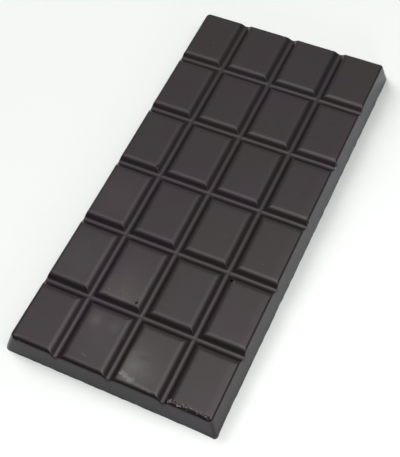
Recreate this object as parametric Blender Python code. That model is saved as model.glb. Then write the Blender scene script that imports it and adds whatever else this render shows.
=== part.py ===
"""Moulded dark chocolate bar, four columns by six rows of blocks.

Units are metres and +Z is up. The bar lies flat on its base: its columns run
along X, its rows along Y, and the origin is the middle of the base.
"""
import math

import bmesh
import bpy
from mathutils import Matrix, Vector

MM = 0.001

# Blocks
COLUMNS = 4
ROWS = 6
COLUMN_PITCH = 18.7 * MM
ROW_PITCH = 25.3 * MM

# Outer slab: the walls lean in from the base to the top
BASE_WIDTH = 73.8 * MM
BASE_LENGTH = 151.0 * MM
THICKNESS = 7.5 * MM
WALL_LEAN = math.radians(17.2)
RIM_RADIUS = 1.2 * MM
RIM_SEGMENTS = 6
CORNER_RADIUS = 1.6 * MM
CORNER_SEGMENTS = 5

# Grooves: a narrow rounded valley, sloping sides and a soft upper edge
GROOVE_DEPTH = 1.65 * MM
GROOVE_HALF_WIDTH = 2.4 * MM
VALLEY_HALF_WIDTH = 0.58 * MM
VALLEY_RADIUS = 1.2 * MM
VALLEY_SEGMENTS = 4
EDGE_RADIUS = 2.6 * MM
EDGE_SEGMENTS = 6

# The cutters reach past the bar and stand clear of its top face
CUTTER_OVERHANG = 4.0 * MM
CUTTER_HEADROOM = 3.0 * MM
EDGE_RUNOUT = 0.006 * MM

CHOCOLATE_COLOUR = (0.030, 0.022, 0.023, 1.0)
CHOCOLATE_ROUGHNESS = 0.32
CHOCOLATE_METALLIC = 0.0
SMOOTH_ANGLE = math.radians(28.0)
SAME_HEIGHT = 0.01 * MM


def clear_scene():
    """Remove every object that the file started with."""
    for old in list(bpy.data.objects):
        bpy.data.objects.remove(old, do_unlink=True)


def new_collection(name):
    """Make a collection under the scene's own one."""
    group = bpy.data.collections.new(name)
    bpy.context.scene.collection.children.link(group)
    return group


def mesh_object(name, bm, group):
    """Turn a bmesh into an object of the given collection."""
    mesh = bpy.data.meshes.new(name)
    bm.to_mesh(mesh)
    bm.free()
    thing = bpy.data.objects.new(name, mesh)
    group.objects.link(thing)
    return thing


def chocolate_material():
    """Dark, slightly glossy chocolate."""
    material = bpy.data.materials.new("dark_chocolate")
    material.use_nodes = True
    shader = material.node_tree.nodes["Principled BSDF"]
    shader.inputs["Base Color"].default_value = CHOCOLATE_COLOUR
    shader.inputs["Roughness"].default_value = CHOCOLATE_ROUGHNESS
    shader.inputs["Metallic"].default_value = CHOCOLATE_METALLIC
    return material


def lean_in_top(bm):
    """Move the top corners inwards, so that all four walls lean."""
    inset = THICKNESS * math.tan(WALL_LEAN)
    for vert in bm.verts:
        if vert.co.z > THICKNESS / 2:
            vert.co.x -= math.copysign(inset, vert.co.x)
            vert.co.y -= math.copysign(inset, vert.co.y)


def round_edges(bm, chosen, radius, segments):
    """Bevel the chosen edges to a round of the given radius."""
    bmesh.ops.bevel(bm, geom=chosen, offset=radius, offset_type="OFFSET",
                    segments=segments, profile=0.5, affect="EDGES",
                    clamp_overlap=True)


def tangent_length(radius, turn):
    """Distance from a sharp edge to where its round begins."""
    return radius * math.tan(turn / 2)


def make_slab(group):
    """The solid bar before its grooves are cut."""
    bm = bmesh.new()
    bmesh.ops.create_cube(bm, size=1.0)
    bmesh.ops.scale(bm, verts=bm.verts, vec=(BASE_WIDTH, BASE_LENGTH, THICKNESS))
    bmesh.ops.translate(bm, verts=bm.verts, vec=(0.0, 0.0, THICKNESS / 2))
    lean_in_top(bm)

    upright = [edge for edge in bm.edges
               if abs(edge.verts[0].co.z - edge.verts[1].co.z) > THICKNESS / 2]
    corner_turn = math.radians(90.0)
    round_edges(bm, upright, tangent_length(CORNER_RADIUS, corner_turn), CORNER_SEGMENTS)

    rim = [edge for edge in bm.edges
           if all(abs(vert.co.z - THICKNESS) < SAME_HEIGHT for vert in edge.verts)]
    rim_turn = math.radians(90.0) - WALL_LEAN
    round_edges(bm, rim, tangent_length(RIM_RADIUS, rim_turn), RIM_SEGMENTS)

    return mesh_object("chocolate_bar", bm, group)


def arc(centre_x, centre_z, radius, start, end, segments):
    """Points of an arc; angles run from straight down, towards +X."""
    points = []
    for step in range(segments + 1):
        angle = start + (end - start) * step / segments
        points.append((centre_x + radius * math.sin(angle),
                       centre_z - radius * math.cos(angle)))
    return points


def groove_half_profile():
    """Right half of a groove's section, from its middle up to the top face.

    Each point is (distance from the middle, height above the base).
    """
    floor = THICKNESS - GROOVE_DEPTH
    slope = math.atan2(GROOVE_DEPTH, GROOVE_HALF_WIDTH - VALLEY_HALF_WIDTH)
    valley_start = VALLEY_HALF_WIDTH - tangent_length(VALLEY_RADIUS, slope)
    edge_end = GROOVE_HALF_WIDTH + tangent_length(EDGE_RADIUS, slope)

    points = [(0.0, floor)]
    points += arc(valley_start, floor + VALLEY_RADIUS, VALLEY_RADIUS,
                  0.0, slope, VALLEY_SEGMENTS)
    edge_centre = THICKNESS - EDGE_RADIUS + EDGE_RUNOUT
    points += arc(edge_end, edge_centre, EDGE_RADIUS,
                  math.pi + slope, math.pi, EDGE_SEGMENTS)
    return points


def make_groove_cutter(name, half_length, along_x, offset, group):
    """A long prism with the groove's section, ready to be subtracted."""
    right = groove_half_profile()
    left = [(-across, height) for across, height in reversed(right[1:])]
    roof = THICKNESS + CUTTER_HEADROOM
    edge = right[-1][0]
    section = left + right + [(edge, roof), (-edge, roof)]

    bm = bmesh.new()
    outline = [bm.verts.new((across, -half_length, height)) for across, height in section]
    face = bm.faces.new(outline)
    pushed = bmesh.ops.extrude_face_region(bm, geom=[face])
    moved = [item for item in pushed["geom"] if isinstance(item, bmesh.types.BMVert)]
    bmesh.ops.translate(bm, verts=moved, vec=(0.0, 2 * half_length, 0.0))
    if along_x:
        turn = Matrix.Rotation(math.radians(90.0), 4, "Z")
        bmesh.ops.transform(bm, matrix=turn, verts=bm.verts)
    bmesh.ops.recalc_face_normals(bm, faces=bm.faces)

    cutter = mesh_object(name, bm, group)
    cutter.location = Vector((0.0, offset, 0.0)) if along_x else Vector((offset, 0.0, 0.0))
    cutter.hide_render = True
    cutter.display_type = "WIRE"
    return cutter


def groove_offsets(count, pitch):
    """Places of the grooves between a number of blocks, centred on zero."""
    return [(index - count / 2) * pitch for index in range(1, count)]


def make_cutters(group):
    """All grooves between the columns, then all between the rows."""
    cutters = []
    for index, offset in enumerate(groove_offsets(COLUMNS, COLUMN_PITCH), start=1):
        half_length = BASE_LENGTH / 2 + CUTTER_OVERHANG
        cutters.append(make_groove_cutter(f"column_groove_{index}", half_length,
                                          False, offset, group))
    for index, offset in enumerate(groove_offsets(ROWS, ROW_PITCH), start=1):
        half_length = BASE_WIDTH / 2 + CUTTER_OVERHANG
        cutters.append(make_groove_cutter(f"row_groove_{index}", half_length,
                                          True, offset, group))
    return cutters


def cut_grooves(bar, cutters):
    """Subtract every cutter from the bar with a Boolean of its own."""
    for cutter in cutters:
        cut = bar.modifiers.new(cutter.name, "BOOLEAN")
        cut.operation = "DIFFERENCE"
        cut.solver = "EXACT"
        cut.object = cutter


def main():
    clear_scene()
    parts = new_collection("chocolate_bar")
    tools = new_collection("cutters")
    bar = make_slab(parts)
    bar.data.materials.append(chocolate_material())
    cut_grooves(bar, make_cutters(tools))
    bar.data.shade_smooth()
    bar.data.set_sharp_from_angle(angle=SMOOTH_ANGLE)


main()
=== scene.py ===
"""Looks of a moulded dark chocolate bar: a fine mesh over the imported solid,
its chocolate surface with small moulding faults, and a soft white studio.
"""
import math
import random

import bmesh
import bpy
import numpy as np
from mathutils import Matrix, Vector, noise


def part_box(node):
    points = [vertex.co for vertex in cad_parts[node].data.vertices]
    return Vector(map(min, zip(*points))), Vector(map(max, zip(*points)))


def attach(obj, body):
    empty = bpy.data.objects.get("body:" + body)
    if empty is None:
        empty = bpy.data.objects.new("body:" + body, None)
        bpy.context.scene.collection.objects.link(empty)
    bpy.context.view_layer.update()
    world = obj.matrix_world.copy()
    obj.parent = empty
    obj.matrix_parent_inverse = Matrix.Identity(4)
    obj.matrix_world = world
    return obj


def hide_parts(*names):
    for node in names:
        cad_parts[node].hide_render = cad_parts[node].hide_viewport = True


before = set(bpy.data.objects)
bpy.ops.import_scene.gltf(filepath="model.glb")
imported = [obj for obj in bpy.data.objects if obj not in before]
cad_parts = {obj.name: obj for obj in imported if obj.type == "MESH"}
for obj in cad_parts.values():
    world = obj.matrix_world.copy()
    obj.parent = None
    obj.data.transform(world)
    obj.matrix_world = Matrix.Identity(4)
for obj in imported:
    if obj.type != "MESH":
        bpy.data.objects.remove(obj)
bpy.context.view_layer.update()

MM = 0.001

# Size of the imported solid, in millimetres
_, BAR_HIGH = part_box("chocolate_bar")
BASE_HALF_X = BAR_HIGH[0] / MM
BASE_HALF_Y = BAR_HIGH[1] / MM
THICKNESS = BAR_HIGH[2] / MM

# The rest of its shape, in millimetres, as the solid was built
COLUMNS = 4
ROWS = 6
COLUMN_PITCH = 18.7
ROW_PITCH = 25.3
WALL_LEAN = math.radians(17.2)
RIM_RADIUS = 1.2
GROOVE_DEPTH = 1.65
GROOVE_HALF_WIDTH = 2.4
VALLEY_HALF_WIDTH = 0.58
VALLEY_RADIUS = 1.2
EDGE_RADIUS = 2.6

# Where the photograph departs from the solid: upright corners of different radii,
# a rounder near rim, and grooves a touch to the left
CORNER_RADIUS = 1.8
NEAR_RIGHT_CORNER_RADIUS = 1.0
FAR_RIGHT_TOP_RADIUS = 0.9
FAR_RIGHT_FOOT_RADIUS = 3.0
NEAR_RIM_RADIUS = 2.1
GROOVE_SHIFT_X = -0.12

# How softly grooves run into each other and out through the walls, in millimetres;
# the least only keeps a division by it safe
MITRE_BLEND = 0.04
GROOVE_END_BLEND = 1.6
LEAST_BLEND = 1e-6

# Mesh spacing, in millimetres
FINE_STEP = 0.30
COARSE_STEP = 0.80
FINE_REACH = 3.6
CORNER_REACH = 3.0
RIM_RINGS = 10
WALL_RINGS_HIGH = 8
WALL_RINGS_LOW = 10
HIGH_WALL_SHARE = 0.30
BASE_CROWDING = 1.7
SAME_PLACE = 0.001

# Where the mesh is divided further: at the creases, and at flaws, whose reach is
# given in radii or half widths. A face with more corners than the most is left whole.
CREASE_WIDTH = 0.45
CREASE_REACH = 3.0
PIN_HOLE_REACH = 2.2
RIM_GAP_REACH = 1.4
SCUFF_REACH = 1.3
FLAW_ROUNDS = 2
MOST_CORNERS = 8


def tangent_length(radius, turn):
    """Distance from a sharp edge to where its round begins."""
    return radius * math.tan(turn / 2)


GROOVE_SLOPE = math.atan2(GROOVE_DEPTH, GROOVE_HALF_WIDTH - VALLEY_HALF_WIDTH)
RIM_TURN = math.pi / 2 - WALL_LEAN
RIM_START = THICKNESS * math.tan(WALL_LEAN) + tangent_length(RIM_RADIUS, RIM_TURN)
RIM_END = RIM_START - RIM_RADIUS * math.sin(RIM_TURN)
FLAT_HALF_X = BASE_HALF_X - RIM_START
FLAT_HALF_Y = BASE_HALF_Y - RIM_START


def groove_lines(count, pitch):
    """Places of the grooves between a number of blocks, centred on zero."""
    return [(index - count / 2) * pitch for index in range(1, count)]


COLUMN_GROOVES = groove_lines(COLUMNS, COLUMN_PITCH)
ROW_GROOVES = groove_lines(ROWS, ROW_PITCH)


def block_point(column, row, across, along):
    """A place on the bar; columns count from the left, rows from the far end."""
    x = (column - (COLUMNS + 1) / 2) * COLUMN_PITCH + across
    y = ((ROWS + 1) / 2 - row) * ROW_PITCH + along
    return x, y


# Small bubbles that burst in the mould: column, row, across, along, radius, depth
PIN_HOLES = [
    (4, 5, -7.2, 9.9, 0.50, 1.10),
    (2, 5, 5.8, -9.2, 0.42, 0.75),
    (4, 3, 6.5, -10.7, 0.46, 0.80),
    (4, 2, 6.7, -10.7, 0.42, 0.75),
    (1, 3, 7.0, -9.8, 0.34, 0.50),
    (4, 2, 6.8, -0.9, 0.26, 0.24),
]
# Their raised lip, in radii of the hole: height, distance from the middle, width
PIN_LIP_HEIGHT = 0.14
PIN_LIP_PLACE = 1.25
PIN_LIP_WIDTH = 0.24

# Crumbly stretches of the near rim: column, row, across from, across to, along,
# gaps, crumbs
CRUMBLY_RIMS = [
    (4, 6, -8.4, -2.6, -9.2, 12, 26),
    (4, 6, -2.4, 3.4, -9.3, 5, 7),
    (4, 6, 3.0, 5.6, -9.4, 6, 6),
]
RIM_GAP_RADII = (0.18, 0.34)
RIM_GAP_DEPTHS = (0.06, 0.20)
RIM_CRUMB_RADII = (0.08, 0.20)
RIM_SCATTER = 0.60
RIM_SEED = 11

# Bloom, a pale haze of cocoa butter: column, row, across, along, its reach
# across and along, and how strong it is; one below 0 thins the haze
BLOOM = [
    (3, 6, -7.0, -4.0, 6.5, 7.5, 0.36),
    (3, 6, -3.2, -3.6, 2.2, 1.8, 0.13),
    (3, 6, -1.0, -5.5, 7.0, 5.0, 0.12),
    (3, 6, 0.0, 1.0, 9.0, 11.0, 0.07),
    (3, 6, -2.0, 0.1, 1.3, 0.8, -0.18),
    (2, 5, 0.0, -9.0, 9.0, 7.0, 0.22),
    (2, 5, 0.0, 0.0, 7.0, 9.0, 0.08),
    (2, 6, -3.4, 5.8, 1.8, 2.0, 0.26),
    (2, 6, 3.3, 5.4, 1.7, 1.7, 0.17),
    (2, 6, 0.0, 2.0, 8.0, 9.0, 0.07),
    (1, 5, 0.0, -2.0, 8.0, 11.0, 0.10),
    (1, 4, 0.0, -2.0, 8.0, 11.0, 0.10),
]

# Depth below the top face, in millimetres, over which bloom fades out
BLOOM_EDGE = (0.05, 0.45)

# Scuffs: column, row, start across and along, end across and along, half width, strength
SCUFFS = [
    (3, 6, -6.3, -7.0, -2.2, -8.2, 0.85, 0.95),
    (3, 6, -6.6, -6.3, -5.2, -6.7, 0.40, 0.60),
    (3, 6, -1.4, -8.5, 4.6, -9.0, 0.45, 0.25),
    (2, 6, -1.8, -6.2, -0.6, -6.4, 0.20, 0.30),
]
# Where they fade out, in half widths, how ragged that edge is, and their relief
SCUFF_EDGE = (0.35, 1.25)
SCUFF_RAGGED = 0.75
SCUFF_RELIEF = 0.05

# Dust and crumbs that stuck to the top: column, row, across, along, radius
TOP_SPECKS = [
    (1, 1, 1.5, -2.4, 0.13),
    (1, 1, 1.8, 6.6, 0.10),
    (4, 1, 6.8, -9.9, 0.24),
    (4, 2, -1.1, 5.1, 0.13),
    (3, 4, 3.1, -1.0, 0.12),
    (3, 4, 1.1, -8.8, 0.10),
    (3, 4, -0.8, 4.4, 0.10),
    (4, 4, -0.4, -6.2, 0.12),
    (4, 4, -1.9, 3.5, 0.10),
    (2, 5, -4.4, -8.3, 0.17),
    (3, 5, -3.6, -6.1, 0.14),
    (4, 5, -6.2, 9.6, 0.17),
    (4, 5, -5.8, 9.2, 0.11),
    (1, 6, -5.4, 8.3, 0.14),
    (1, 6, -3.4, 4.4, 0.12),
    (1, 6, -3.9, -10.0, 0.13),
    (4, 6, 5.3, -7.3, 0.13),
]
# The same on the right and the near wall: (x, y, z)
WALL_SPECKS = [
    (34.95, 37.00, 7.00),
    (35.30, 25.60, 6.40),
    (35.39, 27.76, 4.88),
    (35.74, -20.57, 3.76),
    (-7.35, -75.18, 1.02),
]
WALL_SPECK_RADIUS = 0.23
# Tiny ones at random places on the top: how many, and (least, most) radius
STRAY_SPECKS = 26
STRAY_RADII = (0.05, 0.09)
STRAY_SEED = 4
# Each speck is stretched and made lumpy: (least, most) in width and in height
SPECK_WIDTHS = (0.7, 1.35)
SPECK_HEIGHTS = (0.45, 0.75)
SPECK_LUMPS = 0.75
SPECK_LUMP_SCALE = 1.1
SPECK_DETAIL = 2
SPECK_SEED = 9

# Noises in the shape: size of the swells in millimetres, and a layer, so that no
# two are alike
RAG_SWELLS = (2.8, 21.0)
RAG_RIPPLES = (0.7, 5.0)
WAVER_ACROSS = (6.0, 1.5)
WAVER_ALONG = (6.0, 8.5)
TOP_SWELLS = (18.0, 3.7)
TOP_RIPPLES = (5.5, 9.1)
SCUFF_RAG = (0.8, 6.5)
SCUFF_GRAIN = (0.35, 2.5)

# How far grooves waver, how high the swells of the surface are, and how far it is sunk
GROOVE_WAVER = 0.05
SWELL_HEIGHT = 0.035
RIPPLE_HEIGHT = 0.010
SURFACE_DROP = 0.03


def groove_cut(distance):
    """Depth below the top face, at a distance from a groove's middle line."""
    valley_start = VALLEY_HALF_WIDTH - tangent_length(VALLEY_RADIUS, GROOVE_SLOPE)
    valley_end = valley_start + VALLEY_RADIUS * math.sin(GROOVE_SLOPE)
    edge_end = GROOVE_HALF_WIDTH + tangent_length(EDGE_RADIUS, GROOVE_SLOPE)
    edge_start = edge_end - EDGE_RADIUS * math.sin(GROOVE_SLOPE)
    d = np.abs(distance)
    up_valley = np.clip(d - valley_start, 0.0, VALLEY_RADIUS)
    valley = GROOVE_DEPTH - VALLEY_RADIUS + np.sqrt(VALLEY_RADIUS ** 2 - up_valley ** 2)
    wall = (GROOVE_HALF_WIDTH - d) * math.tan(GROOVE_SLOPE)
    down_edge = np.clip(edge_end - d, 0.0, EDGE_RADIUS)
    edge = EDGE_RADIUS - np.sqrt(EDGE_RADIUS ** 2 - down_edge ** 2)
    return np.select([d <= valley_end, d <= edge_start, d <= edge_end],
                     [valley, wall, edge], 0.0)


def deeper(first, second, blend):
    """The deeper of two cuts, run together softly where both are real."""
    room = np.maximum(np.minimum(blend, np.minimum(first, second)), LEAST_BLEND)
    near = np.clip(1.0 - np.abs(first - second) / room, 0.0, 1.0)
    return np.maximum(first, second) + near * near * room / 4


def steps(start, end, step):
    """Even steps from start up to, but not including, end."""
    count = max(1, round((end - start) / step))
    return [start + (end - start) * index / count for index in range(count)]


def grid_lines(half_length, grooves):
    """Mesh lines across the flat top, close together at grooves and corners."""
    marks = [(-half_length, FINE_STEP), (-half_length + CORNER_REACH, COARSE_STEP)]
    for groove in grooves:
        marks.append((groove - FINE_REACH, FINE_STEP))
        marks.append((groove + FINE_REACH, COARSE_STEP))
    marks.append((half_length - CORNER_REACH, FINE_STEP))
    marks.append((half_length, FINE_STEP))
    lines = []
    for (start, step), (end, _) in zip(marks, marks[1:]):
        lines += steps(start, end, step)
    return lines + [half_length]


def rings():
    """Rings from the flat top outwards: (distance in from the base's edge, height)."""
    found = []
    for index in range(1, RIM_RINGS + 1):
        angle = RIM_TURN * index / RIM_RINGS
        found.append((RIM_START - RIM_RADIUS * math.sin(angle),
                      THICKNESS - RIM_RADIUS * (1 - math.cos(angle))))
    low_start = RIM_END * (1 - HIGH_WALL_SHARE)
    insets = [RIM_END + (low_start - RIM_END) * index / WALL_RINGS_HIGH
              for index in range(1, WALL_RINGS_HIGH + 1)]
    insets += [low_start * (1 - index / WALL_RINGS_LOW) ** BASE_CROWDING
               for index in range(1, WALL_RINGS_LOW + 1)]
    return found + [(inset, inset / math.tan(WALL_LEAN)) for inset in insets]


def slide_along(value, flat_half, hold, straight_end):
    """Where a border point goes along its side, and its angle round the corner."""
    size = abs(value)
    free = flat_half - CORNER_REACH
    if size <= hold:
        return size, 0.0
    if size <= free:
        return hold + (size - hold) * (straight_end - hold) / (free - hold), 0.0
    return straight_end, math.pi / 4 * (size - free) / CORNER_REACH


def corner_radius(right, far, inset):
    """Radius of an upright corner; the far right one widens towards its foot."""
    if not right:
        return CORNER_RADIUS
    if not far:
        return NEAR_RIGHT_CORNER_RADIUS
    low_share = 1.0 - min(1.0, inset / RIM_END)
    return FAR_RIGHT_TOP_RADIUS + (FAR_RIGHT_FOOT_RADIUS - FAR_RIGHT_TOP_RADIUS) * low_share


def ring_point(x, y, inset):
    """Where a point of the flat top's border lands on a ring further out."""
    half_x = BASE_HALF_X - inset
    half_y = BASE_HALF_Y - inset
    share = min(1.0, (RIM_START - inset) / (RIM_START - RIM_END))
    sign_x = math.copysign(1.0, x)
    sign_y = math.copysign(1.0, y)
    radius = share * corner_radius(x > 0, y > 0, inset)
    if abs(abs(x) - FLAT_HALF_X) < SAME_PLACE:
        hold = ROW_GROOVES[-1] + FINE_REACH
        along, angle = slide_along(y, FLAT_HALF_Y, hold, half_y - radius)
        return (sign_x * (half_x - radius + radius * math.cos(angle)),
                sign_y * (along + radius * math.sin(angle)))
    hold = COLUMN_GROOVES[-1] + FINE_REACH
    along, angle = slide_along(x, FLAT_HALF_X, hold, half_x - radius)
    return (sign_x * (along + radius * math.sin(angle)),
            sign_y * (half_y - radius + radius * math.cos(angle)))


def border_loop(count_x, count_y):
    """Grid places round the border, anticlockwise from the near left corner."""
    loop = [(i, 0) for i in range(count_x - 1)]
    loop += [(count_x - 1, j) for j in range(count_y - 1)]
    loop += [(i, count_y - 1) for i in range(count_x - 1, 0, -1)]
    loop += [(0, j) for j in range(count_y - 1, 0, -1)]
    return loop


def smooth_blank():
    """The bar without its grooves: flat top, round rim, leaning walls and base."""
    lines_x = grid_lines(FLAT_HALF_X, COLUMN_GROOVES)
    lines_y = grid_lines(FLAT_HALF_Y, ROW_GROOVES)
    bm = bmesh.new()
    top = [[bm.verts.new((x, y, THICKNESS)) for y in lines_y] for x in lines_x]
    for i in range(len(lines_x) - 1):
        for j in range(len(lines_y) - 1):
            bm.faces.new((top[i][j], top[i + 1][j], top[i + 1][j + 1], top[i][j + 1]))
    inner = [top[i][j] for i, j in border_loop(len(lines_x), len(lines_y))]
    border = [(vert.co.x, vert.co.y) for vert in inner]
    for inset, height in rings():
        outer = [bm.verts.new((*ring_point(x, y, inset), height)) for x, y in border]
        for index in range(len(inner)):
            after = (index + 1) % len(inner)
            bm.faces.new((inner[index], outer[index], outer[after], inner[after]))
        inner = outer
    base = bm.faces.new(list(reversed(inner)))
    for edge in base.edges:
        edge.smooth = False
    return bm


def near_crease(x, y, width):
    """Whether a point is near a crease, where the slopes of two grooves meet."""
    from_column = min(abs(x - GROOVE_SHIFT_X - line) for line in COLUMN_GROOVES)
    from_row = min(abs(y - line) for line in ROW_GROOVES)
    return (abs(from_column - from_row) < width
            and max(from_column, from_row) < CREASE_REACH)


def refine(bm, wanted, rounds):
    """Divide the faces whose middle is wanted, a few times over."""
    for _ in range(rounds):
        edges = set()
        for face in bm.faces:
            centre = face.calc_center_median()
            if len(face.verts) <= MOST_CORNERS and wanted(centre.x, centre.y):
                edges.update(face.edges)
        bmesh.ops.subdivide_edges(bm, edges=list(edges), cuts=1, use_grid_fill=True)


def field(x, y, size, layer):
    """Smooth noise from about -1 to 1, with swells of the given size."""
    return np.array([noise.noise(Vector((a / size, b / size, layer)))
                     for a, b in zip(x, y)])


def smooth_step(value, low, high):
    """Ease from 0 at low to 1 at high."""
    t = np.clip((value - low) / (high - low), 0.0, 1.0)
    return t * t * (3 - 2 * t)


def pin_hole_cut(x, y):
    """Depth of the burst bubbles: round pits with a faint raised lip."""
    cut = np.zeros_like(x)
    for column, row, across, along, radius, depth in PIN_HOLES:
        centre_x, centre_y = block_point(column, row, across, along)
        d = np.hypot(x - centre_x, y - centre_y) / radius
        cut += depth * np.sqrt(np.clip(1.0 - d * d, 0.0, 1.0))
        cut -= PIN_LIP_HEIGHT * radius * np.exp(-((d - PIN_LIP_PLACE) / PIN_LIP_WIDTH) ** 2)
    return cut


def rim_flaws():
    """Gaps (x, y, radius, depth) and crumbs (x, y, radius) of the crumbly rims."""
    draw = random.Random(RIM_SEED)
    gaps = []
    crumbs = []
    for column, row, start, end, along, gap_count, crumb_count in CRUMBLY_RIMS:
        for index in range(gap_count + crumb_count):
            x, y = block_point(column, row, draw.uniform(start, end),
                               along + draw.uniform(-RIM_SCATTER, RIM_SCATTER))
            if index < gap_count:
                gaps.append((x, y, draw.uniform(*RIM_GAP_RADII), draw.uniform(*RIM_GAP_DEPTHS)))
            else:
                crumbs.append((x, y, draw.uniform(*RIM_CRUMB_RADII)))
    return gaps, crumbs


def rim_gap_cut(x, y):
    """Depth of the gaps in the crumbly rims."""
    cut = np.zeros_like(x)
    for centre_x, centre_y, radius, depth in rim_flaws()[0]:
        d = np.hypot(x - centre_x, y - centre_y) / radius
        cut = np.maximum(cut, depth * np.clip(1.0 - d * d, 0.0, 1.0))
    return cut


def bloom(x, y):
    """Strength of the pale haze; each patch stays on its own block."""
    haze = np.zeros_like(x)
    for column, row, across, along, reach_x, reach_y, strength in BLOOM:
        a = x - block_point(column, row, 0.0, 0.0)[0]
        b = y - block_point(column, row, 0.0, 0.0)[1]
        inside = (np.abs(a) < COLUMN_PITCH / 2) & (np.abs(b) < ROW_PITCH / 2)
        patch = np.exp(-((a - across) / reach_x) ** 2 - ((b - along) / reach_y) ** 2)
        haze += strength * patch * inside
    return np.maximum(haze, 0.0)


def scuff(x, y):
    """Strength of the scuffs: rough bands from a start to an end point."""
    worn = np.zeros_like(x)
    ragged = SCUFF_RAGGED * field(x, y, *SCUFF_RAG)
    for column, row, across_0, along_0, across_1, along_1, half_width, strength in SCUFFS:
        x0, y0 = block_point(column, row, across_0, along_0)
        x1, y1 = block_point(column, row, across_1, along_1)
        square = (x1 - x0) ** 2 + (y1 - y0) ** 2
        t = np.clip(((x - x0) * (x1 - x0) + (y - y0) * (y1 - y0)) / square, 0.0, 1.0)
        d = np.hypot(x - x0 - t * (x1 - x0), y - y0 - t * (y1 - y0)) / half_width
        worn = np.maximum(worn, strength * (1.0 - smooth_step(d + ragged, *SCUFF_EDGE)))
    return worn


def outward(x, y, inset):
    """Direction straight out from the walls, as two arrays."""
    room_x = BASE_HALF_X - inset - CORNER_RADIUS
    room_y = BASE_HALF_Y - inset - CORNER_RADIUS
    out_x = x - np.clip(x, -room_x, room_x)
    out_y = y - np.clip(y, -room_y, room_y)
    length = np.maximum(np.hypot(out_x, out_y), SAME_PLACE)
    return out_x / length, out_y / length


# The base's edge, as the poured chocolate left it, in millimetres
RAG_HEIGHT = 0.55
RAG_DEPTH = 0.14
RAG_RIPPLE_SHARE = 0.5
LIP_PLACE = (36.3, -75.0)
LIP_SPREAD = 2.4
LIP_REACH = 0.28
NICKS = [(36.73, -17.27, 0.54), (36.63, -11.07, 0.89)]
NICK_RADIUS = 0.5
NICK_DEPTH = 0.16

# The left and far sides and the right rim stand a little further out, most of all
# the left side where it nears the near left corner
LEFT_SHIFT = 0.20
FAR_SHIFT = 0.25
RIGHT_RIM_SHIFT = 0.18
RIGHT_SHIFT_HEIGHTS = (0.1, 0.9)
SHIFTED_WIDTH = 8.0
BULGE_START_Y = -10.0
BULGE_REACH = 0.75
BULGE_POWER = 1.5

# The tops sink a little towards the right rim, but not at the far end
RIM_SAG = 0.11
RIM_SAG_WIDTH = 2.2
RIM_SAG_FADE = (15.0, 50.0)

# Where the painted reflection of the table on the long walls and the walls themselves begin, in
# rim radii below the top face; a face is wall when every corner is further than the least into
# the wall
PAINTED_SIDE_REFLECTION_START = 0.2
WALL_START = 0.5
WALL_LEAST = 0.5

# Painted reflection of the bright table on the walls, a pale colour standing in for their shine:
# how fast it fades upwards, in millimetres, and how strong it is; the lip at the near right foot
# is painted paler too
PAINTED_REFLECTION_HEIGHT = 2.0
SIDE_STRENGTH = 1.05
SIDE_LOW_STRENGTH = 0.9
END_HIGH_STRENGTH = 0.2
LIP_PALENESS = 1.3
LIP_PALENESS_SPREAD = 2.0


def base_edge(x, y, height):
    """How far the foot of the walls stands out: ragged, with a lip and two nicks."""
    rag = RAG_DEPTH * (field(x, y, *RAG_SWELLS)
                       + RAG_RIPPLE_SHARE * field(x, y, *RAG_RIPPLES))
    lip = LIP_REACH * np.exp(-((x - LIP_PLACE[0]) ** 2 + (y - LIP_PLACE[1]) ** 2)
                             / LIP_SPREAD ** 2)
    out = (rag + lip) * np.exp(-(height / RAG_HEIGHT) ** 2)
    for nick_x, nick_y, nick_z in NICKS:
        square = (x - nick_x) ** 2 + (y - nick_y) ** 2 + (height - nick_z) ** 2
        out -= NICK_DEPTH * np.exp(-square / NICK_RADIUS ** 2)
    return out


def shift_left(x, y):
    """How far the left side is moved out."""
    near = np.clip((BULGE_START_Y - y) / (BASE_HALF_Y + BULGE_START_Y), 0.0, 1.0)
    reach = LEFT_SHIFT + BULGE_REACH * near ** BULGE_POWER
    return reach * smooth_step(-x, BASE_HALF_X - SHIFTED_WIDTH, BASE_HALF_X)


def shift_right(x, above):
    """How far the right rim is moved out, the base staying where it is."""
    return (RIGHT_RIM_SHIFT * smooth_step(above, *RIGHT_SHIFT_HEIGHTS)
            * smooth_step(x, BASE_HALF_X - SHIFTED_WIDTH, BASE_HALF_X - RIM_START))


def shift_far(y):
    """How far the far side is moved out."""
    return FAR_SHIFT * smooth_step(y, BASE_HALF_Y - SHIFTED_WIDTH, BASE_HALF_Y)


def near_rim_cut(x, y, height, out_y):
    """Depth cut away by the rounder rim of the near side."""
    near = np.clip(-out_y, 0.0, 1.0) ** 2
    radius = RIM_RADIUS + (NEAR_RIM_RADIUS - RIM_RADIUS) * near
    start = THICKNESS * math.tan(WALL_LEAN) + tangent_length(radius, RIM_TURN)
    inset = np.minimum(BASE_HALF_X - np.abs(x), BASE_HALF_Y - np.abs(y))
    over = np.clip(start - inset, 0.0, radius * math.sin(RIM_TURN))
    cut = radius - np.sqrt(radius ** 2 - over ** 2)
    reached = inset > start - radius * math.sin(RIM_TURN)
    return np.where(reached, cut, THICKNESS - height)


def right_sag(x, y):
    """How far the tops sink where they near the right rim."""
    share = np.clip((x - FLAT_HALF_X + RIM_SAG_WIDTH) / RIM_SAG_WIDTH, 0.0, 1.0)
    return RIM_SAG * share ** 2 * (1.0 - smooth_step(y, *RIM_SAG_FADE))


def groove_depth(x, y):
    """Depth of the grooves, whose lines waver very slightly."""
    waver_x = x - GROOVE_SHIFT_X + GROOVE_WAVER * field(x, y, *WAVER_ACROSS)
    waver_y = y + GROOVE_WAVER * field(x, y, *WAVER_ALONG)
    grooves_x = np.max([groove_cut(waver_x - line) for line in COLUMN_GROOVES], axis=0)
    grooves_y = np.max([groove_cut(waver_y - line) for line in ROW_GROOVES], axis=0)
    return deeper(grooves_x, grooves_y, MITRE_BLEND)


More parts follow.
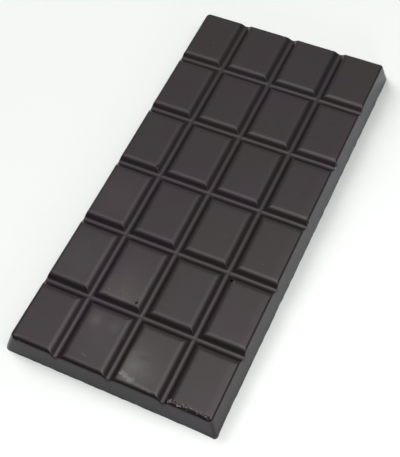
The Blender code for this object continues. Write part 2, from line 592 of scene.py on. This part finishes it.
def unevenness(x, y):
    """Slow swells of the moulded surface, which as a whole is sunk a little."""
    swells = SWELL_HEIGHT * field(x, y, *TOP_SWELLS)
    return swells + RIPPLE_HEIGHT * field(x, y, *TOP_RIPPLES) - SURFACE_DROP


def flaw_spots():
    """Places (x, y, reach) where the mesh has to be finer."""
    spots = [(*block_point(*hole[:4]), PIN_HOLE_REACH * hole[4]) for hole in PIN_HOLES]
    spots += [(x, y, RIM_GAP_REACH * radius) for x, y, radius, _ in rim_flaws()[0]]
    for column, row, across_0, along_0, across_1, along_1, half_width, _ in SCUFFS:
        length = math.dist((across_0, along_0), (across_1, along_1))
        count = max(2, round(length / half_width))
        for index in range(count + 1):
            share = index / count
            across = across_0 + (across_1 - across_0) * share
            along = along_0 + (along_1 - along_0) * share
            spots.append((*block_point(column, row, across, along), SCUFF_REACH * half_width))
    return spots


def near_flaw(x, y, spots):
    """Whether a point is at one of the flaws."""
    return any(abs(x - spot_x) < reach and abs(y - spot_y) < reach
               for spot_x, spot_y, reach in spots)


def below_top(height, start):
    """Ease from 0 to 1 down the rim; start is in rim radii below the top face."""
    return smooth_step(-height, -THICKNESS + start * RIM_RADIUS, -THICKNESS + RIM_RADIUS)


def set_attribute(mesh, name, values):
    """Store one number for each vertex, for the material to read."""
    layer = mesh.attributes.new(name, "FLOAT", "POINT")
    layer.data.foreach_set("value", np.ascontiguousarray(values, dtype=np.float32))


def mark_walls(mesh, on_wall):
    """Give the faces of the walls the second material."""
    corners = np.empty(len(mesh.loops), dtype=np.int32)
    starts = np.empty(len(mesh.polygons), dtype=np.int32)
    mesh.loops.foreach_get("vertex_index", corners)
    mesh.polygons.foreach_get("loop_start", starts)
    lowest = np.minimum.reduceat(on_wall[corners], starts)
    mesh.polygons.foreach_set("material_index", (lowest > WALL_LEAST).astype(np.int32))


def side_reflection_paint_and_lip(x, y, height, out_x, on_lip):
    """Strength of the painted reflection of the table on the long walls, which grows towards the
    far end and the foot; the lip at the near right foot is painted paler too.
    """
    far_share = 0.5 + y / (2 * BASE_HALF_Y)
    low_down = np.exp(-height / PAINTED_REFLECTION_HEIGHT)
    below_rim = below_top(height, PAINTED_SIDE_REFLECTION_START)
    return (LIP_PALENESS * on_lip + below_rim * np.abs(out_x) * SIDE_STRENGTH * far_share
            * (1.0 + SIDE_LOW_STRENGTH * low_down))


def end_reflection_paint(height, out_y, on_wall, on_lip):
    """Strength of the painted bluish reflection of the table on the short walls, most at the
    foot, none of it on the lip.
    """
    low_down = np.exp(-height / PAINTED_REFLECTION_HEIGHT)
    return on_wall * np.abs(out_y) * (1.0 - on_lip) * (END_HIGH_STRENGTH + low_down)


def refined_blank():
    """The smooth bar as a mesh in millimetres, finer at its creases and flaws."""
    bm = smooth_blank()
    spots = flaw_spots()
    refine(bm, lambda x, y: near_crease(x, y, CREASE_WIDTH), 1)
    refine(bm, lambda x, y: near_crease(x, y, CREASE_WIDTH / 2), 1)
    refine(bm, lambda x, y: near_flaw(x, y, spots), FLAW_ROUNDS)
    mesh = bpy.data.meshes.new("moulded_bar")
    bm.to_mesh(mesh)
    bm.free()
    return mesh


def bar_mesh():
    """The finished bar as a mesh in metres."""
    mesh = refined_blank()
    points = np.empty(len(mesh.vertices) * 3)
    mesh.vertices.foreach_get("co", points)
    points = points.reshape(-1, 3)
    x, y, height = points.T.copy()
    out_x, out_y = outward(x, y, height * math.tan(WALL_LEAN))
    grooves = groove_depth(x, y)
    worn = scuff(x, y)
    rim = np.maximum(THICKNESS - height, near_rim_cut(x, y, height, out_y))
    above = np.clip(height / THICKNESS, 0.0, 1.0)
    on_wall = below_top(height, WALL_START)

    cut = deeper(rim, grooves, GROOVE_END_BLEND)
    cut += pin_hole_cut(x, y) + rim_gap_cut(x, y) + right_sag(x, y) * above
    cut -= SCUFF_RELIEF * worn * field(x, y, *SCUFF_GRAIN)
    foot = base_edge(x, y, height) * on_wall
    points[:, 0] = x + out_x * foot - shift_left(x, y) + shift_right(x, above)
    points[:, 1] = y + out_y * foot + shift_far(y)
    points[:, 2] = np.maximum(THICKNESS - cut + unevenness(x, y) * above, 0.0)
    mesh.vertices.foreach_set("co", (points * MM).ravel())

    on_top = 1.0 - smooth_step(np.maximum(grooves, rim), *BLOOM_EDGE)
    from_lip = np.hypot(x - LIP_PLACE[0], y - LIP_PLACE[1])
    on_lip = np.exp(-(from_lip / LIP_PALENESS_SPREAD) ** 2 - (height / RAG_HEIGHT) ** 2)
    set_attribute(mesh, "bloom", bloom(x, y) * on_top)
    set_attribute(mesh, "scuff", worn)
    # Painted reflection of the table on the long walls, and the paler lip, for the material
    set_attribute(mesh, "side_reflection_paint_and_lip", side_reflection_paint_and_lip(x, y, height, out_x, on_lip))
    # Painted bluish reflection of the table on the short walls, for the material
    set_attribute(mesh, "end_reflection_paint", end_reflection_paint(height, out_y, on_wall, on_lip))
    mark_walls(mesh, on_wall)
    mesh.update()
    mesh.shade_smooth()
    return mesh


# Sockets of a colour mix, whose names it shares with its other kinds of mix
MIX_FACTOR = 0
MIX_FIRST = 6
MIX_SECOND = 7
MIX_RESULT = 2


def plug(tree, value, socket):
    """Feed a socket with a number, a colour or another node's output."""
    if isinstance(value, bpy.types.NodeSocket):
        tree.links.new(value, socket)
    else:
        socket.default_value = value


def math_node(tree, operation, *values):
    """Add a math node fed by numbers or by other nodes' outputs."""
    made = tree.nodes.new("ShaderNodeMath")
    made.operation = operation
    for value, socket in zip(values, made.inputs):
        plug(tree, value, socket)
    return made.outputs[0]


def mix_colour(tree, factor, first, second):
    """Add a colour mix: first where the factor is 0, second where it is 1."""
    made = tree.nodes.new("ShaderNodeMix")
    made.data_type = "RGBA"
    plug(tree, factor, made.inputs[MIX_FACTOR])
    plug(tree, first, made.inputs[MIX_FIRST])
    plug(tree, second, made.inputs[MIX_SECOND])
    return made.outputs[MIX_RESULT]


def noise_node(tree, place, size, detail=2.0, stretch=None):
    """Add a noise whose swells have the given size in millimetres.

    It can be turned about Z and drawn out: stretch is the angle and the scale.
    """
    if stretch is not None:
        angle, scale = stretch
        mapping = tree.nodes.new("ShaderNodeMapping")
        mapping.inputs["Rotation"].default_value = (0.0, 0.0, angle)
        mapping.inputs["Scale"].default_value = (1.0, scale, 1.0)
        tree.links.new(place, mapping.inputs["Vector"])
        place = mapping.outputs["Vector"]
    made = tree.nodes.new("ShaderNodeTexNoise")
    made.inputs["Scale"].default_value = 1.0 / (size * MM)
    made.inputs["Detail"].default_value = detail
    tree.links.new(place, made.inputs["Vector"])
    return made.outputs["Fac"]


def ramp(tree, value, low, high):
    """Stretch the values between low and high to run from 0 to 1."""
    made = tree.nodes.new("ShaderNodeMapRange")
    made.interpolation_type = "SMOOTHSTEP"
    made.inputs["From Min"].default_value = low
    made.inputs["From Max"].default_value = high
    tree.links.new(value, made.inputs["Value"])
    return made.outputs["Result"]


def attribute(tree, name):
    """Read one of the numbers stored for each vertex."""
    made = tree.nodes.new("ShaderNodeAttribute")
    made.attribute_name = name
    return made.outputs["Fac"]


# Colours of the chocolate: its two shades, then bloom, scuffs, and the table's reflection
# painted on the walls
PLUM = (0.0046, 0.0016, 0.0036, 1.0)
UMBER = (0.0038, 0.0026, 0.0018, 1.0)
BLOOM_COLOUR = (0.060, 0.056, 0.049, 1.0)
SCUFF_COLOUR = (0.078, 0.077, 0.069, 1.0)
# Painted reflection of the bright table on the long walls, a pale grey
PAINTED_SIDE_REFLECTION = (0.044, 0.046, 0.050, 1.0)
# Painted reflection of the table on the short walls, a faint blue
PAINTED_END_REFLECTION = (0.004, 0.006, 0.011, 1.0)
# The shine of cocoa butter, and how strong it is on the top and on the duller walls
CHOCOLATE_IOR = 1.5
SHINE_TINT = (1.0, 0.895, 0.935, 1.0)
TOP_SPECULAR = 0.5
WALL_SPECULAR = 0.43

# Noises in the material: size of the swells in millimetres, and detail
SHADES = (22.0, 2.0)
MOTTLE = (3.2, 3.0)
GRAIN = (0.5, 2.0)
RIPPLE = (1.6, 2.0)
SCRATCH = (0.30, 1.0)
SCRATCH_STRETCH = (0.5, 0.03)

# The part of each noise that is stretched to run from 0 to 1
SHADE_RANGE = (0.35, 0.65)
SPECKLE_RANGE = (0.40, 0.60)
SCRATCH_RANGE = (0.72, 0.80)
SCRATCHED_RANGE = (0.50, 0.62)

# How uneven the marks are: share of the noise, and what is added to it
PATCHY = (0.8, 0.6)
SPECKLED = (0.7, 0.5)
SCRATCH_PALENESS = 0.05

# Roughness: share of the mottle, what is added to it, and more for each kind of mark
MOTTLE_ROUGHNESS = (0.08, 0.19)
BLOOM_ROUGHNESS = 0.15
SCRATCH_ROUGHNESS = 0.10
SCUFF_ROUGHNESS = 0.25

# Fine relief, of which the grain has a share of 1; the height is in millimetres
RIPPLE_RELIEF = 2.0
SCRATCH_RELIEF = -1.5
RELIEF_HEIGHT = 0.003


def chocolate(name, specular_level):
    """Dark chocolate with a satin shine, faint scratches, bloom, scuffs, and the table's
    reflection painted on the walls.
    """
    material = bpy.data.materials.new(name)
    material.use_nodes = True
    tree = material.node_tree
    shader = tree.nodes["Principled BSDF"]
    shader.inputs["IOR"].default_value = CHOCOLATE_IOR
    shader.inputs["Specular Tint"].default_value = SHINE_TINT
    shader.inputs["Specular IOR Level"].default_value = specular_level
    place = tree.nodes.new("ShaderNodeTexCoord").outputs["Object"]

    shade = ramp(tree, noise_node(tree, place, *SHADES), *SHADE_RANGE)
    mottle = noise_node(tree, place, *MOTTLE)
    grain = noise_node(tree, place, *GRAIN)
    ripple = noise_node(tree, place, *RIPPLE)
    scratch = noise_node(tree, place, *SCRATCH, stretch=SCRATCH_STRETCH)
    scratches = math_node(tree, "MULTIPLY", ramp(tree, scratch, *SCRATCH_RANGE),
                          ramp(tree, mottle, *SCRATCHED_RANGE))

    patchy = math_node(tree, "MULTIPLY_ADD", mottle, *PATCHY)
    bloom_share = math_node(tree, "MULTIPLY", attribute(tree, "bloom"), patchy)
    speckle = math_node(tree, "MULTIPLY_ADD", ramp(tree, grain, *SPECKLE_RANGE), *SPECKLED)
    scuff_share = math_node(tree, "MULTIPLY", attribute(tree, "scuff"), speckle)
    side_share = math_node(tree, "MULTIPLY", attribute(tree, "side_reflection_paint_and_lip"), patchy)
    end_share = math_node(tree, "MULTIPLY", attribute(tree, "end_reflection_paint"), patchy)
    scratch_share = math_node(tree, "MULTIPLY", scratches, SCRATCH_PALENESS)

    colour = mix_colour(tree, shade, PLUM, UMBER)
    # Painted reflection of the table on the long walls, and the paler lip
    colour = mix_colour(tree, side_share, colour, PAINTED_SIDE_REFLECTION)
    # Painted bluish reflection of the table on the short walls
    colour = mix_colour(tree, end_share, colour, PAINTED_END_REFLECTION)
    colour = mix_colour(tree, bloom_share, colour, BLOOM_COLOUR)
    colour = mix_colour(tree, scratch_share, colour, SCUFF_COLOUR)
    colour = mix_colour(tree, scuff_share, colour, SCUFF_COLOUR)
    tree.links.new(colour, shader.inputs["Base Color"])

    rough = math_node(tree, "MULTIPLY_ADD", mottle, *MOTTLE_ROUGHNESS)
    rough = math_node(tree, "MULTIPLY_ADD", bloom_share, BLOOM_ROUGHNESS, rough)
    rough = math_node(tree, "MULTIPLY_ADD", scratches, SCRATCH_ROUGHNESS, rough)
    rough = math_node(tree, "MULTIPLY_ADD", scuff_share, SCUFF_ROUGHNESS, rough)
    tree.links.new(rough, shader.inputs["Roughness"])

    relief = math_node(tree, "MULTIPLY_ADD", ripple, RIPPLE_RELIEF, grain)
    relief = math_node(tree, "MULTIPLY_ADD", scratches, SCRATCH_RELIEF, relief)
    bump = tree.nodes.new("ShaderNodeBump")
    bump.inputs["Distance"].default_value = RELIEF_HEIGHT * MM
    tree.links.new(relief, bump.inputs["Height"])
    tree.links.new(bump.outputs["Normal"], shader.inputs["Normal"])
    return material


def add_bar():
    """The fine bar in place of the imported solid."""
    bar = bpy.data.objects.new("moulded_bar", bar_mesh())
    bpy.context.scene.collection.objects.link(bar)
    bar.data.materials.append(chocolate("chocolate", TOP_SPECULAR))
    bar.data.materials.append(chocolate("chocolate_wall", WALL_SPECULAR))
    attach(bar, "root")
    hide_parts("chocolate_bar")


def speck_places():
    """Centres and radii of all the specks, in millimetres."""
    draw = random.Random(STRAY_SEED)
    flat = [(*block_point(*speck[:4]), speck[4]) for speck in TOP_SPECKS]
    for _ in range(STRAY_SPECKS):
        flat.append((draw.uniform(-FLAT_HALF_X, FLAT_HALF_X),
                     draw.uniform(-FLAT_HALF_Y, FLAT_HALF_Y), draw.uniform(*STRAY_RADII)))
    flat += rim_flaws()[1]
    x, y, radius = np.array(flat).T
    over = np.clip(np.maximum(np.abs(x) - FLAT_HALF_X, np.abs(y) - FLAT_HALF_Y), 0.0, RIM_RADIUS)
    rim_drop = RIM_RADIUS - np.sqrt(RIM_RADIUS ** 2 - over ** 2)
    z = THICKNESS - np.maximum(groove_depth(x, y), rim_drop) + unevenness(x, y)
    places = list(zip(x, y, z, radius))
    return places + [(*place, WALL_SPECK_RADIUS) for place in WALL_SPECKS]


# The dust: its two colours, the size of their patches in millimetres, and its roughness
DUST_DARK = (0.05, 0.042, 0.036, 1.0)
DUST_LIGHT = (0.16, 0.145, 0.13, 1.0)
DUST_PATCHES = 0.12
DUST_ROUGHNESS = 0.65


def speck_material():
    """Pale dry chocolate dust."""
    material = bpy.data.materials.new("chocolate_dust")
    material.use_nodes = True
    tree = material.node_tree
    shader = tree.nodes["Principled BSDF"]
    place = tree.nodes.new("ShaderNodeTexCoord").outputs["Object"]
    patches = noise_node(tree, place, DUST_PATCHES)
    colour = mix_colour(tree, patches, DUST_DARK, DUST_LIGHT)
    tree.links.new(colour, shader.inputs["Base Color"])
    shader.inputs["Roughness"].default_value = DUST_ROUGHNESS
    return material


def add_specks():
    """Specks of dust and crumbs: small uneven lumps, half sunk in the surface."""
    bm = bmesh.new()
    draw = random.Random(SPECK_SEED)
    for x, y, z, radius in speck_places():
        centre = Vector((x, y, z))
        stretch = Vector((draw.uniform(*SPECK_WIDTHS), draw.uniform(*SPECK_WIDTHS),
                          draw.uniform(*SPECK_HEIGHTS)))
        made = bmesh.ops.create_icosphere(bm, subdivisions=SPECK_DETAIL, radius=radius,
                                          matrix=Matrix.Translation(centre))
        for vert in made["verts"]:
            arm = vert.co - centre
            arm *= 1.0 + SPECK_LUMPS * noise.noise(vert.co / radius * SPECK_LUMP_SCALE)
            vert.co = centre + arm * stretch
    bmesh.ops.scale(bm, verts=bm.verts, vec=(MM, MM, MM))
    mesh = bpy.data.meshes.new("surface_specks")
    bm.to_mesh(mesh)
    bm.free()
    mesh.shade_smooth()
    mesh.materials.append(speck_material())
    specks = bpy.data.objects.new("surface_specks", mesh)
    bpy.context.scene.collection.objects.link(specks)
    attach(specks, "root")


# Camera, as worked out from the grooves and outline in the photograph
CAMERA_PLACE = (0.09466, -0.15937, 0.28602)
CAMERA_AZIMUTH = math.radians(32.2195)
CAMERA_ELEVATION = math.radians(58.4073)
CAMERA_ROLL = math.radians(-8.1282)
CAMERA_LENS = 78.155
CAMERA_SENSOR = 36.0
CAMERA_CLIP_START = 0.01
CAMERA_CLIP_END = 20.0


def add_camera():
    """Camera at the photograph's viewing angle."""
    data = bpy.data.cameras.new("camera")
    data.lens = CAMERA_LENS
    data.sensor_width = CAMERA_SENSOR
    data.clip_start = CAMERA_CLIP_START
    data.clip_end = CAMERA_CLIP_END
    camera = bpy.data.objects.new("camera", data)
    bpy.context.scene.collection.objects.link(camera)
    turn = (Matrix.Rotation(CAMERA_AZIMUTH, 4, "Z")
            @ Matrix.Rotation(math.pi / 2 - CAMERA_ELEVATION, 4, "X")
            @ Matrix.Rotation(CAMERA_ROLL, 4, "Z"))
    camera.matrix_world = Matrix.Translation(CAMERA_PLACE) @ turn
    bpy.context.scene.camera = camera


# The table, in metres; it lies a hair below the bar's base
FLOOR_HALF_SIZE = 4.0
FLOOR_HEIGHT = -0.00002
FLOOR_COLOUR = (0.466, 0.479, 0.468, 1.0)
FLOOR_ROUGHNESS = 0.7
FLOOR_SPECULAR = 0.2


def add_floor():
    """A plain pale table, seamless to the horizon."""
    bm = bmesh.new()
    bmesh.ops.create_grid(bm, x_segments=1, y_segments=1, size=FLOOR_HALF_SIZE)
    mesh = bpy.data.meshes.new("floor")
    bm.to_mesh(mesh)
    bm.free()
    floor = bpy.data.objects.new("floor", mesh)
    floor.location.z = FLOOR_HEIGHT
    bpy.context.scene.collection.objects.link(floor)
    material = bpy.data.materials.new("floor")
    material.use_nodes = True
    shader = material.node_tree.nodes["Principled BSDF"]
    shader.inputs["Base Color"].default_value = FLOOR_COLOUR
    shader.inputs["Roughness"].default_value = FLOOR_ROUGHNESS
    shader.inputs["Specular IOR Level"].default_value = FLOOR_SPECULAR
    mesh.materials.append(material)


# Soft lights overhead: direction (x, y, z), peak, spread in degrees along X and Y.
# The base is the level of the dim room around them.
SKY_LOBES = [
    ((0.186, 0.011, 1.0), 3.44, 33.5, 23.5),
    ((-0.199, 0.655, 1.0), 0.754, 61.0, 80.0),
]
SKY_BASE = 0.024
WHITE = (1.0, 1.0, 1.0, 1.0)


def dot_with(tree, place, direction):
    """How far the looked-at direction points along the given one."""
    made = tree.nodes.new("ShaderNodeVectorMath")
    made.operation = "DOT_PRODUCT"
    made.inputs[1].default_value = direction
    tree.links.new(place, made.inputs[0])
    return made.outputs["Value"]


def sky_lobe(tree, place, centre, spread_x, spread_y):
    """A soft oval of light, 1 at its middle and fading as a bell curve."""
    middle = Vector(centre).normalized()
    side = Vector((1.0, 0.0, 0.0)) - middle.x * middle
    side.normalize()
    angle = math_node(tree, "ARCCOSINE", dot_with(tree, place, middle))
    across = dot_with(tree, place, side)
    along = dot_with(tree, place, middle.cross(side))
    across = math_node(tree, "MULTIPLY", across, across)
    along = math_node(tree, "MULTIPLY", along, along)
    total = math_node(tree, "ADD", across, along)
    scaled = math_node(tree, "MULTIPLY", across, math.radians(spread_x) ** -2)
    scaled = math_node(tree, "MULTIPLY_ADD", along, math.radians(spread_y) ** -2, scaled)
    ratio = math_node(tree, "DIVIDE", scaled, total)
    square = math_node(tree, "MULTIPLY", angle, angle)
    return math_node(tree, "POWER", math.exp(-1.0), math_node(tree, "MULTIPLY", square, ratio))


def add_world():
    """Large soft lights overhead, fading to a dim room."""
    world = bpy.data.worlds.new("studio")
    bpy.context.scene.world = world
    world.use_nodes = True
    tree = world.node_tree
    place = tree.nodes.new("ShaderNodeTexCoord").outputs["Generated"]
    level = SKY_BASE
    for centre, peak, spread_x, spread_y in SKY_LOBES:
        lobe = sky_lobe(tree, place, centre, spread_x, spread_y)
        level = math_node(tree, "MULTIPLY_ADD", lobe, peak, level)
    background = tree.nodes["Background"]
    background.inputs["Color"].default_value = WHITE
    tree.links.new(level, background.inputs["Strength"])


# Lamps that shade the table and faintly light the walls, but don't show in the shine.
# The sun shines from (x, y, z)
SUN_FROM = (-0.70, 0.38, 0.60)
SUN_ANGLE = math.radians(40.0)
SUN_STRENGTH = 4.0
# Small lamps close by: place, size, power
FILLS = [
    ((0.12, -0.090, 0.05), 0.06, 0.13),
    ((-0.03, -0.16, 0.06), 0.06, 0.016),
]


def add_lamp(name, kind, place, strength):
    """A lamp aimed at the bar's middle, kept out of reflections and out of sight."""
    data = bpy.data.lights.new(name, kind)
    data.energy = strength
    lamp = bpy.data.objects.new(name, data)
    lamp.location = place
    lamp.rotation_euler = Vector(place).to_track_quat("Z", "Y").to_euler()
    lamp.visible_glossy = False
    lamp.visible_camera = False
    bpy.context.scene.collection.objects.link(lamp)
    return data


def add_lamps():
    """A soft lamp from the far left and small fills on the near side."""
    add_lamp("window", "SUN", SUN_FROM, SUN_STRENGTH).angle = SUN_ANGLE
    for index, (place, size, power) in enumerate(FILLS, start=1):
        add_lamp(f"fill_{index}", "AREA", place, power).size = size


def main():
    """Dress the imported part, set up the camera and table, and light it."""
    bpy.context.scene.view_settings.view_transform = "Standard"
    add_camera()
    add_floor()
    add_world()
    add_lamps()
    add_bar()
    add_specks()


main()
